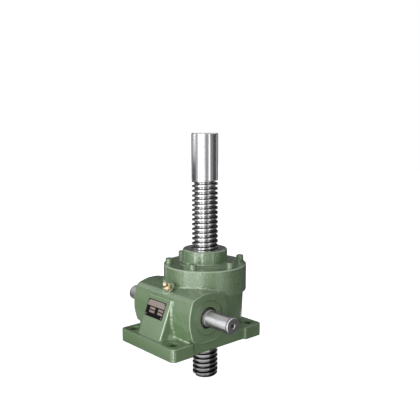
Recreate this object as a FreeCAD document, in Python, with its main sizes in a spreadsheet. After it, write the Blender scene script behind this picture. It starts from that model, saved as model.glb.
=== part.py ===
import FreeCAD, Part
import math
import os
import re
import Sketcher

# A worm gear screw jack: a worm turns a bronze wheel whose threaded bore lifts a trapezoidal screw.
# The origin is on the screw's axis in the plane of the mounting face. Z is the screw's axis, upwards.
# The worm lies along X, on the -Y side of the screw.

SIZES = {
    # lifting screw and its thread
    "screw_top": 510,
    "screw_plain_low": 394,
    "screw_low": -108,
    "plain_radius": 33,
    "crest_radius": 32.5,
    "thread_pitch": 12,
    "thread_depth": 6.5,
    "flank_angle": 15,
    "thread_play": 0.4,
    "thread_start": -120,
    "screw_chamfer": 2,
    "end_cut_root": 1.5,
    "end_cut_high": 7,
    "nut_start": 24,
    "nut_height": 120,
    # mounting plate
    "base_half": 104,
    "base_front": 188,
    "base_back": 101,
    "base_thick": 31,
    "base_round": 11,
    "flange_round": 5,
    "plate_round": 2.5,
    "edge_break": 1,
    "cast_round": 5,
    "barrel_round": 2,
    "buttress_round": 4,
    "recess_half": 96.5,
    "recess_front": 126,
    "recess_back": 42,
    "bolt_half": 78,
    "bolt_front": 165.5,
    "bolt_back": 76,
    "bolt_hole": 9,
    "bolt_spot": 16,
    # worm line
    "worm_y": 84,
    "worm_z": 85,
    "boss_half": 109.5,
    "tunnel_half": 58.7,
    "tunnel_corner": 49.5,
    "tunnel_flat": 14,
    "tunnel_round": 18,
    "tunnel_bulge": 60,
    "rim_round": 1.5,
    "foot_sunk": 5,
    "worm_bore": 40,
    "shaft_radius": 20,
    "shaft_end_radius": 19,
    "shaft_half": 189,
    "shaft_chamfer": 2,
    "shoulder_radius": 24,
    "shoulder_end": 62,
    "seal_end": 113.5,
    "key_start": 118,
    "key_end": 182,
    "key_half": 5,
    "key_depth": 5,
    "centre_radius": 6.5,
    "centre_core": 5.1,
    "centre_depth": 28,
    "clip_radius": 18,
    "clip_width": 1.85,
    "clip_margin": 3,
    # worm bearings, plugs and seals
    "bearing_width": 18,
    "worm_ball": 6,
    "worm_balls": 12,
    "plug_radius": 41,
    "shim_width": 1,
    "seal_radius": 26,
    "seal_inside": 96.5,
    "seal_width": 7,
    "seal_play": 0.05,
    "lip_thick": 3,
    "plug_bore": 21.5,
    "lock_place": 32,
    "lock_radius": 2.5,
    "lock_length": 6,
    "lock_turn": 32,
    "lock_sunk": 0.5,
    # worm and wheel
    "gear_module": 4.5,
    "wheel_teeth": 24,
    "worm_dedendum": 5.4,
    "wheel_dedendum": 5.6,
    "wheel_clearance": 6.75,
    "pressure_angle": 20,
    "thread_sunk": 0.5,
    "worm_half": 48,
    "worm_bevel": 5,
    "worm_phase": 0.75,
    "wheel_backlash": 0.2,
    "worm_backlash": 0.55,
    "tooth_slope": 0.44,
    "tooth_bow": 0.6,
    "tip_relief": 0.6,
    "rim_half": 23,
    # cast body above the plate
    "barrel_low": 92.5,
    "barrel_high": 97,
    "drum_low": 121,
    "drum_radius": 104,
    "cover_low": 168,
    "cover_top": 186,
    "cover_break": 2,
    "cover_hollow": 150,
    "collar_radius": 56,
    "collar_top": 223,
    "collar_mouth": 34.5,
    "chamber_radius": 78,
    # thrust bearings
    "journal_radius": 45,
    "race_radius": 60,
    "lower_seat": 34,
    "race_height": 22,
    "race_thick": 6.5,
    "race_play": 0.8,
    "ball_play": 0.05,
    "thrust_balls": 21,
    "thrust_ball": 6.5,
    "wheel_low": 56,
    "wheel_high": 114,
    "journal_gap": 2,
    "hub_radius": 52,
    "rim_step": 2,
    "rim_bevel": 4,
    # buttress with the plate
    "buttress_half": 43.5,
    "buttress_foot": 176,
    "buttress_head": 139.7,
    "buttress_top": 121.5,
    "buttress_shift": 3.5,
    # guide bushes, shim and hole depths
    "bush_low": 4,
    "bush_radius": 40,
    "shim_thick": 0.5,
    "spot_depth": 1.5,
    "tap_depth": 32,
    "screw_grip": 26,
    "screw_play": 0.1,
    "bush_play": 0.3,
    "upper_bush_low": 168,
    "wiper_low": 208,
    "wiper_high": 217,
    "spigot_low": 122,
    "land_radius": 66,
    "land_high": 1.5,
    "collar_chamfer": 2.5,
    "collar_foot": 5,
    "collar_toe": 1.5,
    "shim_inset": 0.3,
    "wiper_root": 3,
    "wiper_lip": 1.2,
    # cover screws
    "bolt_circle": 91,
    "cover_screws": 6,
    "head_radius": 9,
    "head_height": 12,
    "thread_radius": 6,
    "washer_height": 3,
    "washer_inner": 6.2,
    "washer_outer": 9.3,
    "socket_radius": 5.8,
    "socket_depth": 6,
    "clear_radius": 6.7,
    "washer_gap": 0.8,
    # grease fitting on its boss
    "grease_side": 6,
    "grease_out": 38.5,
    "grease_up": 57.2,
    "grease_tilt": 48,
    "grease_boss": 16.5,
    "grease_boss_deep": 18,
    "grease_port": 4.9,
    "grease_port_deep": 32,
    "fitting_hex": 9.6,
    "fitting_hex_high": 8,
    "fitting_neck": 6.6,
    "fitting_neck_high": 12,
    "fitting_waist": 4.2,
    "fitting_ball": 5.4,
    "fitting_ball_low": 13.5,
    "fitting_top": 20,
    # plate on the buttress and its rivets
    "label_width": 68,
    "label_height": 42,
    "label_thick": 0.8,
    "label_shift": 8,
    "label_middle": 93,
    "label_round": 3,
    "rivet_radius": 2.4,
    "rivet_inset": 4.5,
    "rivet_high": 1,
    "rivet_shank": 1.4,
    "rivet_round": 0.7,
}

# Formulas that several sub-parts share
WHEEL_PITCH = "(gear_module * wheel_teeth / 2)"
WORM_PITCH = "(worm_y - gear_module * wheel_teeth / 2)"
WORM_ROOT = "(worm_y - gear_module * wheel_teeth / 2 - worm_dedendum)"
WORM_TIP = "(worm_y - gear_module * wheel_teeth / 2 + gear_module)"
WORM_LEAD = "(pi * gear_module)"
NUT_BORE = "(crest_radius - thread_depth + thread_play)"
BALL_CIRCLE = "((journal_radius + race_radius) / 2)"
BEARING_MIDDLE = "(shoulder_end + bearing_width / 2)"
BUTTRESS_LEAN = "(buttress_foot - buttress_head) / (buttress_top - base_thick)"
TUNNEL_LEAN = "(tunnel_half - tunnel_corner) / (tunnel_corner - tunnel_flat)"
WORM_BALL_CIRCLE = "((shaft_radius + worm_bore) / 2)"
PLUG_START = "(shoulder_end + bearing_width + shim_width)"
CLIP_END = "(shaft_half - clip_margin)"
CLIP_START = "(shaft_half - clip_margin - clip_width)"
LOCK_PLACE = ("lock_place * cos(lock_turn)", "lock_place * sin(lock_turn)", "lock_radius")

# How near an edge must lie to the place that names it
CLOSE = 0.05
NEAR = 1

doc = FreeCAD.newDocument("worm_screw_jack")
sheet = doc.addObject("Spreadsheet::Sheet", "Sizes")
nodes = []


def fill_sheet():
    """Write the driving dimensions into the sheet, one row each."""
    for row, (alias, value) in enumerate(SIZES.items(), 1):
        sheet.set("A%d" % row, alias)
        sheet.set("B%d" % row, str(value))
        sheet.setAlias("B%d" % row, alias)
    doc.recompute()


def linked(text):
    """Turn plain dimension names in a formula into references to the sheet."""
    return re.sub(r"[a-z]+_[a-z_]+", lambda found: "Sizes." + found.group(0), str(text))


def size(alias):
    """Read one driving dimension from the sheet."""
    return float(sheet.get(alias))


def body(name, written=True):
    """Start one sub-part of the jack; a block that another sub-part takes in isn't written."""
    made = doc.addObject("PartDesign::Body", name)
    made.Label = name
    made.AllowCompound = True
    if written:
        nodes.append(made)
    return made


def plane(owner, role):
    """Find one of a sub-part's own origin planes."""
    return next(item for item in owner.Origin.OriginFeatures if item.Role == role)


def new_sketch(owner, name, role, offset, rotation):
    """Attach an empty sketch to an origin plane, moved by three formulas and turned."""
    made = owner.newObject("Sketcher::SketchObject", owner.Label + "_" + name)
    made.AttachmentSupport = [(plane(owner, role), "")]
    made.MapMode = "FlatFace"
    made.AttachmentOffset = FreeCAD.Placement(FreeCAD.Vector(), rotation)
    for direction, formula in zip("xyz", offset):
        made.setExpression("AttachmentOffset.Base." + direction, linked(formula))
    return made


def fix_point(sketch, item, point, across, up):
    """Tie one point of a sketch to two formulas."""
    for kind, formula in (("DistanceX", across), ("DistanceY", up)):
        where = sketch.getPoint(item, point)
        value = where.x if kind == "DistanceX" else where.y
        number = sketch.addConstraint(Sketcher.Constraint(kind, item, point, value))
        sketch.setExpression("Constraints[%d]" % number, linked(formula))


def outline(owner, name, role, corners, offset=(0, 0, 0), rotation=FreeCAD.Rotation()):
    """Closed outline of straight lines, each corner given by two formulas."""
    sketch = new_sketch(owner, name, role, offset, rotation)
    count = len(corners)
    seeds = [2 * math.pi * index / count for index in range(count)]
    places = [FreeCAD.Vector(100 * math.cos(turn), 100 * math.sin(turn), 0) for turn in seeds]
    for index in range(count):
        sketch.addGeometry(Part.LineSegment(places[index], places[(index + 1) % count]))
    for index in range(count):
        sketch.addConstraint(Sketcher.Constraint("Coincident", index, 2, (index + 1) % count, 1))
    for index, (across, up) in enumerate(corners):
        fix_point(sketch, index, 1, across, up)
    return sketch


def circles(owner, name, role, rings, offset=(0, 0, 0), rotation=FreeCAD.Rotation()):
    """Circles, each given by formulas for its centre and its radius."""
    sketch = new_sketch(owner, name, role, offset, rotation)
    for index, (across, up, radius) in enumerate(rings):
        sketch.addGeometry(Part.Circle(FreeCAD.Vector(0, 0, 0), FreeCAD.Vector(0, 0, 1), 10))
        fix_point(sketch, index, 3, across, up)
        number = sketch.addConstraint(Sketcher.Constraint("Radius", index, 10))
        sketch.setExpression("Constraints[%d]" % number, linked(radius))
    return sketch


def extrude(owner, kind, sketch, length, both=False, backwards=False):
    """Pad or pocket a sketch by a formula's length, to one side or evenly to both."""
    made = owner.newObject("PartDesign::" + kind, sketch.Label + "_" + kind.lower())
    made.Profile = sketch
    made.Midplane = both
    made.Reversed = backwards
    made.setExpression("Length", linked(length))
    return made


def turn(owner, kind, sketch, axis="V_Axis"):
    """Turn a sketch about one of its own axes into a solid of revolution, or cut one."""
    made = owner.newObject("PartDesign::" + kind, sketch.Label + "_" + kind.lower())
    made.Profile = sketch
    made.ReferenceAxis = (sketch, [axis])
    made.Angle = 360
    return made


def turned(name, corners, axis="V_Axis"):
    """Sub-part turned from one outline in the XZ plane about Z, or about X with the other axis."""
    owner = body(name)
    turn(owner, "Revolution", outline(owner, "section", "XZ_Plane", corners), axis)
    return owner


def ring_corners(inner, outer, low, high):
    """Section of a plain ring about Z."""
    return [(inner, low), (outer, low), (outer, high), (inner, high)]


def swapped(corners):
    """The same section for a ring about X: length across, radius up."""
    return [(along, radius) for radius, along in corners]


def wind(owner, kind, profile, pitch, height, axis="V_Axis"):
    """Wind a profile along a right-hand helix as a ridge or as a groove."""
    made = owner.newObject("PartDesign::" + kind, profile.Label + "_helix")
    made.Profile = profile
    made.ReferenceAxis = (profile, [axis])
    made.Mode = "pitch-height-angle"
    made.setExpression("Pitch", linked(pitch))
    made.setExpression("Height", linked(height))
    return made


def ball(owner, name, across, up, radius):
    """One ball of a bearing, in the XZ plane."""
    made = owner.newObject("PartDesign::AdditiveSphere", owner.Label + "_" + name)
    made.setExpression("Radius", linked(radius))
    made.AttachmentSupport = [(plane(owner, "XY_Plane"), "")]
    made.MapMode = "FlatFace"
    made.setExpression("AttachmentOffset.Base.x", linked(across))
    made.setExpression("AttachmentOffset.Base.z", linked(up))
    return made


def around(owner, feature, count, role="Z_Axis"):
    """Repeat one feature evenly about an origin axis."""
    made = owner.newObject("PartDesign::PolarPattern", feature.Label + "_ring")
    made.Originals = [feature]
    made.Axis = (plane(owner, role), [""])
    made.Angle = 360
    made.setExpression("Occurrences", linked(count))
    owner.Tip = made
    return made


def edges_where(shape, test):
    """Names of the edges whose middle point and end points pass a test."""
    names = []
    for number, edge in enumerate(shape.Edges, 1):
        middle = edge.valueAt((edge.FirstParameter + edge.LastParameter) / 2)
        if test(edge, middle):
            names.append("Edge%d" % number)
    return names


def upright_at(test):
    """Test for upright straight edges whose place passes another test."""

    def passes(edge, middle):
        ends = [vertex.Point for vertex in edge.Vertexes]
        if len(ends) < 2 or (ends[0] - ends[1]).cross(FreeCAD.Vector(0, 0, 1)).Length > CLOSE:
            return False
        return test(middle.x, middle.y)

    return passes


def beside(place, reach):
    """Test for edges whose middle lies near a place; a coordinate given as None may be anything."""

    def passes(edge, middle):
        values = zip((abs(middle.x), middle.y, middle.z), place)
        return all(abs(value - wanted) < reach for value, wanted in values if wanted is not None)

    return passes


def soften(owner, kind, test, amount):
    """Fillet or chamfer the edges of the newest feature that pass a test."""
    doc.recompute()
    base = owner.Tip
    made = owner.newObject("PartDesign::" + kind, base.Label + "_" + kind.lower())
    made.Base = (base, edges_where(base.Shape, test))
    made.setExpression("Radius" if kind == "Fillet" else "Size", linked(amount))
    return made


def join(owner, block):
    """Take another block's solid into a sub-part."""
    doc.recompute()
    made = owner.newObject("PartDesign::Boolean", owner.Label + "_with_" + block.Label)
    made.Type = "Fuse"
    made.setObjects([block])
    return made


def on_worm_line(owner):
    """Move a sub-part that was made about the origin's X axis to the worm's axis."""
    owner.setExpression("Placement.Base.y", linked("-worm_y"))
    owner.setExpression("Placement.Base.z", linked("worm_z"))
    return owner


def housing():
    """Cast body: mounting plate, tapered barrel with its drum, worm tunnel and buttress."""
    cast = body("housing")
    corners = [("-base_half", "-base_front"), ("base_half", "-base_front")]
    corners += [("base_half", "base_back"), ("-base_half", "base_back")]
    extrude(cast, "Pad", outline(cast, "plate", "XY_Plane", corners), "base_thick")
    soften(cast, "Fillet", upright_at(lambda x, y: True), "base_round")
    soften(cast, "Fillet", beside((None, None, size("base_thick")), CLOSE), "plate_round")
    for side, sign in (("right", ""), ("left", "-")):
        near = sign + "recess_half"
        far = sign + "(base_half + edge_break)"
        corners = [(near, "-recess_front"), (far, "-recess_front")]
        corners += [(far, "recess_back"), (near, "recess_back")]
        recess = outline(cast, side + "_recess", "XY_Plane", corners)
        extrude(cast, "Pocket", recess, "base_thick", backwards=True)
    inside = size("recess_front") + NEAR
    wall = size("recess_half") + NEAR
    at_flange = upright_at(lambda x, y: abs(x) > wall and abs(y) < inside)
    soften(cast, "Fillet", at_flange, "flange_round")
    corners = [(0, 0), ("barrel_low", 0), ("barrel_low", "base_thick"), ("barrel_high", "drum_low")]
    corners += [("drum_radius", "drum_low"), ("drum_radius", "cover_low - shim_thick")]
    corners += [(0, "cover_low - shim_thick")]
    turn(cast, "Revolution", outline(cast, "barrel", "XZ_Plane", corners))
    join(cast, worm_tunnel())
    round_casting(cast)
    boss = circles(cast, "grease_boss", "XY_Plane", [(0, 0, "grease_boss")], grease_place(), grease_turn())
    extrude(cast, "Pad", boss, "grease_boss_deep", backwards=True)
    return cast


def worm_tunnel():
    """Tunnel of the worm: leaning sides with rounded corners, its foot, the buttress and a boss."""
    block = body("tunnel", written=False)
    sides = [("-worm_y + " + across, "worm_z + " + up) for across, up in tunnel_corners()]
    extrude(block, "Pad", outline(block, "walls", "YZ_Plane", sides), "2 * boss_half", both=True)
    corner = size("tunnel_corner")
    widest = size("tunnel_half")
    at_corner = along_tunnel(lambda across, up: abs(across - corner) + abs(up - corner) < NEAR)
    soften(block, "Fillet", at_corner, "tunnel_round")
    soften(block, "Fillet", along_tunnel(lambda across, up: max(across, up) > widest - NEAR), "tunnel_bulge")
    soften(block, "Fillet", beside((size("boss_half"), None, None), CLOSE), "rim_round")
    high = "worm_z - tunnel_corner + tunnel_flat"
    low = "base_thick - foot_sunk"
    corners = []
    for sign, order in (("-", 1), ("+", -1)):
        wall = "-worm_y " + sign + " (tunnel_corner + " + TUNNEL_LEAN + " * (%s - worm_z + tunnel_corner))"
        corners += [(wall % z, z) for z in (high, low)[::order]]
    extrude(block, "Pad", outline(block, "foot", "YZ_Plane", corners), "2 * recess_half", both=True)
    front = "-buttress_foot + " + BUTTRESS_LEAN + " * (%s - base_thick)"
    corners = [(front % z, z) for z in ("buttress_top", low)]
    corners += [("-worm_y", low), ("-worm_y", "buttress_top")]
    wedge = outline(block, "buttress", "YZ_Plane", corners, offset=(0, 0, "-buttress_shift"))
    extrude(block, "Pad", wedge, "2 * buttress_half", both=True)
    side = size("buttress_half")
    middle_y = -(size("buttress_head") + size("buttress_foot")) / 2
    middle_z = (size("buttress_top") + size("base_thick")) / 2
    leaning_edges = beside((side, middle_y, middle_z), size("buttress_shift") + NEAR)
    soften(block, "Fillet", leaning_edges, "buttress_round")
    return block


def tunnel_corners():
    """Corners of the tunnel's section from the worm's axis, with a flat in the middle of each side."""
    quarter = [("tunnel_flat", "tunnel_half"), ("tunnel_corner", "tunnel_corner")]
    quarter += [("tunnel_half", "tunnel_flat")]
    corners = []
    for right, upper, order in (("", "", 1), ("", "-", -1), ("-", "-", 1), ("-", "", -1)):
        corners += [("(" + right + across + ")", "(" + upper + up + ")") for across, up in quarter[::order]]
    return corners


def along_tunnel(test):
    """Test for edges along the worm whose distances from its axis pass another test."""

    def passes(edge, middle):
        return abs(middle.x) < NEAR and test(abs(middle.y + size("worm_y")), abs(middle.z - size("worm_z")))

    return passes


def round_casting(cast):
    """Round the roots of the drum, the buttress, the tunnel and the barrel."""
    drum = size("drum_radius")
    foot = size("base_thick")
    walls = [size("buttress_half") + sign * size("buttress_shift") for sign in (-1, 1)]
    side = size("worm_y") + size("tunnel_corner")
    widest = size("worm_y") + size("tunnel_half")

    def drum_root(edge, middle):
        on_drum = abs(math.hypot(middle.x, middle.y) - drum) < CLOSE and middle.z > size("drum_low") + NEAR
        return on_drum and middle.y < -NEAR and edge.Length < drum

    def buttress_root(edge, middle):
        on_wall = min(abs(abs(middle.x) - wall) for wall in walls) < CLOSE
        return on_wall and middle.z > foot + NEAR and -middle.y < widest + NEAR

    def tunnel_foot(edge, middle):
        at_foot = abs(middle.z - foot) < CLOSE and abs(middle.y + side) < 2 * NEAR
        return at_foot and abs(middle.x) < size("recess_half") - NEAR

    def barrel_foot(edge, middle):
        at_foot = abs(middle.z - foot) < CLOSE
        return at_foot and abs(math.hypot(middle.x, middle.y) - size("barrel_low")) < NEAR

    soften(cast, "Fillet", drum_root, "buttress_round")
    soften(cast, "Fillet", buttress_root, "buttress_round")
    soften(cast, "Fillet", tunnel_foot, "cast_round")
    soften(cast, "Fillet", barrel_foot, "barrel_round")


def hollow_housing(cast):
    """Bore the cast body for the wheel, the worm, the bolts and the cover screws."""
    corners = [(0, "-edge_break"), ("collar_mouth", "-edge_break"), ("collar_mouth", "bush_low")]
    corners += [("bush_radius", "bush_low"), ("bush_radius", "lower_seat"), ("race_radius", "lower_seat")]
    corners += [("race_radius", "wheel_low"), ("chamber_radius", "wheel_low")]
    corners += [("chamber_radius", "cover_low + edge_break"), (0, "cover_low + edge_break")]
    turn(cast, "Groove", outline(cast, "chamber", "XZ_Plane", corners))
    line = ("-worm_y", "worm_z")
    bore = circles(cast, "worm_bore", "YZ_Plane", [(*line, "worm_bore")])
    extrude(cast, "Pocket", bore, "2 * boss_half + 2 * edge_break", both=True)
    for side, sign in (("drive", ""), ("rear", "-")):
        place = (0, 0, sign + "boss_half")
        seat = circles(cast, side + "_plug_seat", "YZ_Plane", [(*line, "plug_radius")], place)
        extrude(cast, "Pocket", seat, "boss_half - " + PLUG_START, backwards=bool(sign))
    places = [(x, y) for x in ("-bolt_half", "bolt_half") for y in ("-bolt_front", "bolt_back")]
    holes = circles(cast, "bolt_holes", "XY_Plane", [(x, y, "bolt_hole") for x, y in places])
    extrude(cast, "Pocket", holes, "base_thick + edge_break", backwards=True)
    rings = [(x, y, "bolt_spot") for x, y in places]
    spots = circles(cast, "bolt_spots", "XY_Plane", rings, (0, 0, "base_thick"))
    extrude(cast, "Pocket", spots, "spot_depth")
    port = circles(cast, "grease_port", "XY_Plane", [(0, 0, "grease_port")], grease_place(), grease_turn())
    extrude(cast, "Pocket", port, "grease_port_deep")
    ring = [("bolt_circle", 0, "thread_radius")]
    tap = circles(cast, "tapped", "XY_Plane", ring, (0, 0, "cover_low"))
    around(cast, extrude(cast, "Pocket", tap, "tap_depth"), "cover_screws")


def top_cover():
    """Flanged cover: spigot over the upper thrust bearing, and the collar round the screw."""
    corners = [("race_radius", "spigot_low"), ("chamber_radius", "spigot_low")]
    corners += [("chamber_radius", "cover_low"), ("drum_radius", "cover_low")]
    corners += [("drum_radius", "cover_top - cover_break")]
    corners += [("drum_radius - cover_break", "cover_top"), ("land_radius", "cover_top")]
    corners += [("land_radius - edge_break", "cover_top + land_high")]
    corners += [("collar_radius + collar_foot", "cover_top + land_high")]
    corners += [("collar_radius + collar_toe", "cover_top + collar_toe + land_high")]
    corners += [("collar_radius", "cover_top + collar_foot + land_high")]
    corners += [("collar_radius", "collar_top - collar_chamfer")]
    corners += [("collar_radius - collar_chamfer", "collar_top"), ("collar_mouth", "collar_top")]
    corners += [("collar_mouth", "wiper_high"), ("bush_radius", "wiper_high")]
    corners += [("bush_radius", "cover_hollow"), ("journal_radius + edge_break", "cover_hollow")]
    corners += [("journal_radius + edge_break", "wheel_high + race_height")]
    corners += [("race_radius", "wheel_high + race_height")]
    cover = turned("top_cover", corners)
    drill_for_screws(cover, "cover_top", "cover_top - cover_low + edge_break")


def cover_shim():
    """Thin shim between the cover and the drum."""
    low = "cover_low - shim_thick"
    outer = "drum_radius - shim_inset"
    shim = turned("cover_shim", ring_corners("chamber_radius + shim_inset", outer, low, "cover_low"))
    drill_for_screws(shim, "cover_low", "2 * shim_thick")


def drill_for_screws(owner, top, depth):
    """Clearance holes for the cover screws, down from a height."""
    ring = [("bolt_circle", 0, "clear_radius")]
    hole = circles(owner, "screw_hole", "XY_Plane", ring, (0, 0, top))
    around(owner, extrude(owner, "Pocket", hole, depth), "cover_screws")


def cover_screws():
    """Six socket head screws and the spring washers below their heads."""
    foot = "cover_top + washer_height"
    top = foot + " + head_height"
    tip = "cover_low - screw_grip"
    screws = body("cover_screws")
    corners = [(0, tip), ("thread_radius - screw_play", tip), ("thread_radius - screw_play", foot)]
    corners += [("head_radius", foot), ("head_radius", top + " - edge_break")]
    corners += [("head_radius - edge_break", top), (0, top)]
    section = outline(screws, "section", "XZ_Plane", corners, offset=("bolt_circle", 0, 0))
    around(screws, turn(screws, "Revolution", section), "cover_screws")
    socket = outline(screws, "socket", "XY_Plane", hexagon("socket_radius"), offset=("bolt_circle", 0, top))
    around(screws, extrude(screws, "Pocket", socket, "socket_depth"), "cover_screws")
    washers = body("cover_spring_washers")
    corners = ring_corners("washer_inner", "washer_outer", "cover_top", foot)
    section = outline(washers, "section", "XZ_Plane", corners, offset=("bolt_circle", 0, 0))
    around(washers, turn(washers, "Revolution", section), "cover_screws")
    outer = "washer_outer + edge_break"
    corners = ring_corners("washer_inner - edge_break", outer, "-washer_gap", "washer_gap")
    gap = outline(washers, "gap", "XY_Plane", corners, offset=("bolt_circle", 0, foot))
    around(washers, extrude(washers, "Pocket", gap, "washer_height"), "cover_screws")


def hexagon(radius):
    """Corners of a hexagon with a given distance from its middle to a corner."""
    angles = range(0, 360, 60)
    return [("%s * cos(%d)" % (radius, angle), "%s * sin(%d)" % (radius, angle)) for angle in angles]


def guides():
    """Bronze bushes at both ends of the screw's way through the body, and the wiper in the collar."""
    inner = "crest_radius + bush_play"
    turned("lower_guide_bush", ring_corners(inner, "bush_radius", "bush_low", "lower_seat"))
    turned("upper_guide_bush", ring_corners(inner, "bush_radius", "upper_bush_low", "wiper_low"))
    corners = [("crest_radius + wiper_root", "wiper_low"), ("bush_radius", "wiper_low")]
    corners += [("bush_radius", "wiper_high"), ("crest_radius + wiper_lip", "wiper_high")]
    corners += [(inner, "wiper_high - edge_break"), (inner, "wiper_high - wiper_root")]
    turned("collar_wiper", corners)


def thrust_bearing(name, low, low_race, high_race):
    """Ball thrust bearing of two grooved races and a ring of balls."""
    middle = low + " + race_height / 2"
    levels = {low_race: (low, low + " + race_thick")}
    levels[high_race] = (low + " + race_height - race_thick", low + " + race_height")
    widths = {"shaft_race": ("journal_radius", "race_radius - race_play")}
    widths["housing_race"] = ("journal_radius + race_play", "race_radius")
    for kind, (bottom, top) in levels.items():
        race = turned(name + "_" + kind, ring_corners(*widths[kind], bottom, top))
        groove = circles(race, "groove", "XZ_Plane", [(BALL_CIRCLE, middle, "thrust_ball + ball_play")])
        turn(race, "Groove", groove)
    balls = body(name + "_balls")
    around(balls, ball(balls, "ball", BALL_CIRCLE, middle, "thrust_ball"), "thrust_balls")


def lifting_screw():
    """Trapezoidal screw with a plain top end and a chamfered lower end."""
    root = "crest_radius - thread_depth"
    corners = [(0, "screw_low"), (root, "screw_low"), (root, "screw_plain_low")]
    corners += [("plain_radius - edge_break", "screw_plain_low")]
    corners += [("plain_radius", "screw_plain_low + edge_break")]
    corners += [("plain_radius", "screw_top - screw_chamfer")]
    corners += [("plain_radius - screw_chamfer", "screw_top"), (0, "screw_top")]
    screw = turned("lifting_screw", corners)
    inner = root + " - thread_sunk"
    ridge = thread_profile(screw, "thread", "thread_start", "-thread_play / 2", inner, "crest_radius")
    wind(screw, "AdditiveHelix", ridge, "thread_pitch", "screw_plain_low - thread_start + 2 * edge_break")
    below = "thread_start - thread_pitch"
    outer = "plain_radius + screw_chamfer"
    corners = [(0, "screw_low"), (root + " + end_cut_root", "screw_low")]
    corners += [(outer, "screw_low + end_cut_high")]
    corners += [(outer, below), (0, below)]
    turn(screw, "Groove", outline(screw, "end_cut", "XZ_Plane", corners))


def thread_profile(owner, name, start, growth, inner, outer):
    """Trapezoid of the lifting thread between two radii, made wider or narrower by a growth."""
    middle = "(crest_radius - thread_pitch / 4)"
    half = "(thread_pitch / 4 + " + growth + ")"
    corners = []
    for radius, sign in ((inner, "-"), (outer, "-"), (outer, ""), (inner, "")):
        width = half + " + (" + middle + " - (" + radius + ")) * tan(flank_angle)"
        corners.append((radius, start + " + " + sign + "(" + width + ")"))
    return outline(owner, name, "XZ_Plane", corners)


def worm_wheel():
    """Bronze wheel: helical teeth outside, the lifting nut's thread inside, journals at both ends."""
    tip = WHEEL_PITCH + " + gear_module - tip_relief"
    low = "worm_z - rim_half"
    high = "worm_z + rim_half"
    journal_low = "lower_seat + journal_gap"
    journal_high = "wheel_high + race_height - journal_gap"
    corners = [(NUT_BORE, journal_low), ("journal_radius", journal_low), ("journal_radius", "wheel_low")]
    corners += [("hub_radius", "wheel_low"), ("hub_radius", low + " - rim_step")]
    corners += [(tip + " - rim_bevel", low)]
    corners += [(tip, low + " + rim_bevel"), (tip, high + " - rim_bevel"), (tip + " - rim_bevel", high)]
    corners += [("hub_radius", high + " + rim_step"), ("hub_radius", "wheel_high")]
    corners += [("journal_radius", "wheel_high"), ("journal_radius", journal_high), (NUT_BORE, journal_high)]
    wheel = turned("worm_wheel", corners)
    reach = size("rim_half") + size("rim_step")
    sections = [tooth_space(wheel, name, height) for name, height in (("low", -reach), ("high", reach))]
    loft = wheel.newObject("PartDesign::SubtractiveLoft", "tooth_space")
    loft.Profile = sections[0]
    loft.Sections = sections[1:]
    loft.Ruled = True
    around(wheel, loft, "wheel_teeth")
    outer = "crest_radius + thread_play"
    groove = thread_profile(wheel, "nut", "nut_start", "thread_play / 2", NUT_BORE + " - edge_break", outer)
    wind(wheel, "SubtractiveHelix", groove, "thread_pitch", "nut_height")


def tooth_space(wheel, name, height):
    """Space between two wheel teeth at a height above the worm's axis, turned as the helix asks."""
    pitch_radius = size("gear_module") * size("wheel_teeth") / 2
    worm_radius = size("worm_y") - pitch_radius
    lead_slope = size("gear_module") / (2 * worm_radius)
    angle = 180 / size("wheel_teeth") + math.degrees(height * lead_slope / pitch_radius)
    half = "(pi * gear_module / 4 + wheel_backlash)"
    root = (WHEEL_PITCH + " - wheel_dedendum", half + " - wheel_dedendum * tooth_slope + tooth_bow")
    middle = (WHEEL_PITCH, half)
    outer = (WHEEL_PITCH + " + wheel_clearance", half + " + wheel_clearance * tooth_slope + tooth_bow")
    corners = [(radius, "-(" + width + ")") for radius, width in (root, middle, outer)]
    corners += [(radius, width) for radius, width in (outer, middle, root)]
    place = (0, 0, "worm_z + (%g)" % height)
    return outline(wheel, name, "XY_Plane", corners, place, FreeCAD.Rotation(angle, 0, 0))


def worm_shaft():
    """Worm cut on its shaft, with two keyed ends."""
    core = swapped(ring_corners(0, WORM_ROOT, "-worm_half", "worm_half"))
    shaft = on_worm_line(turned("worm_shaft", core, "H_Axis"))
    start = "(worm_phase - ceil(worm_half / " + WORM_LEAD + ") - 1) * " + WORM_LEAD
    half = "(" + WORM_LEAD + " / 4 - worm_backlash)"
    inner = WORM_ROOT + " - thread_sunk"
    corners = []
    for radius, sign in ((inner, "-"), (WORM_TIP, "-"), (WORM_TIP, ""), (inner, "")):
        width = half + " + (" + WORM_PITCH + " - (" + radius + ")) * tan(pressure_angle)"
        corners.append((start + " + " + sign + "(" + width + ")", radius))
    ridge = outline(shaft, "thread", "XZ_Plane", corners)
    wind(shaft, "AdditiveHelix", ridge, WORM_LEAD, "2 * worm_half + 3 * " + WORM_LEAD, "H_Axis")
    for name, sign in (("drive", ""), ("rear", "-")):
        shaft_end(shaft, name, sign)
        keyway(shaft, name, sign)


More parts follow.
